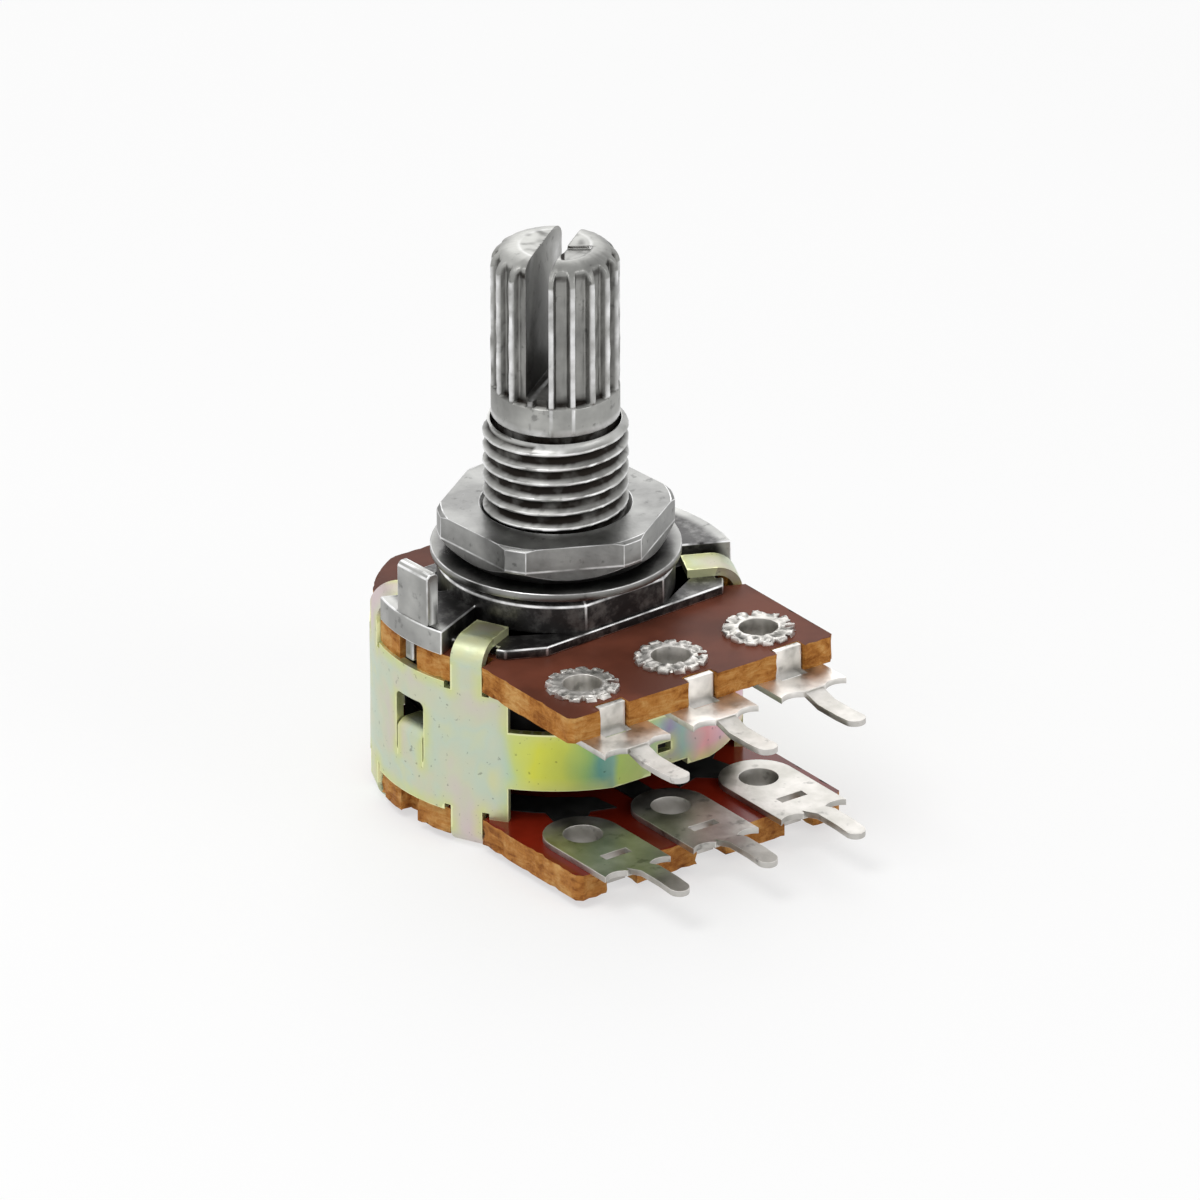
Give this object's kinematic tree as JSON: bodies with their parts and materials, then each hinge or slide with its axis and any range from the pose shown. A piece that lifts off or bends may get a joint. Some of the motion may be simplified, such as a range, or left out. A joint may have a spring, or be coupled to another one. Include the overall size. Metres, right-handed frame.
{
  "type": "rotary potentiometer",
  "caption": "Dual-gang rotary potentiometer with a split knurled shaft, threaded bush with nut and washer, bent steel bracket and two rows of eyelet terminals.",
  "frame": {"origin": "on the shaft's axis, in the plane of the four bent feet that the part stands on", "axes": "+Z along the shaft towards its knurled end, -Y the way the two rows of terminal pins point, +X to the right of someone who looks at the terminals with the shaft up"},
  "size_m": [0.0172, 0.0254, 0.027],
  "materials": {
    "zinc_shaft": "satin",
    "zinc_plate": "satin",
    "nickel_steel": "satin",
    "chromated_steel": "satin",
    "phenolic_upper": "satin",
    "phenolic_lower": "satin",
    "tinned_brass": "satin",
    "moulded_rotor": "satin",
    "spring_bronze": "satin",
    "carbon_print": "matte"
  },
  "bodies": {
    "housing": {"front_plate": "zinc_plate", "hex_nut": "nickel_steel", "flat_washer": "nickel_steel", "bracket": "chromated_steel", "upper_board": "phenolic_upper", "lower_board": "phenolic_lower", "upper_terminal_left": "tinned_brass", "upper_terminal_centre": "tinned_brass", "upper_terminal_right": "tinned_brass", "lower_terminal_left": "tinned_brass", "lower_terminal_centre": "tinned_brass", "lower_terminal_right": "tinned_brass", "upper_resistive_track": "carbon_print", "upper_collector_ring": "carbon_print", "lower_resistive_track": "carbon_print", "lower_collector_ring": "carbon_print"},
    "rotating_group": {"shaft": "zinc_shaft", "upper_rotor": "moulded_rotor", "lower_rotor": "moulded_rotor", "upper_wiper": "spring_bronze", "lower_wiper": "spring_bronze"}
  },
  "joints": [
    {"name": "shaft_rotation", "type": "hinge", "parent": "housing", "child": "rotating_group", "pos_m": [0, 0, 0.0116], "axis": [0, 0, 1], "range_deg": [-150, 150]}
  ]
}
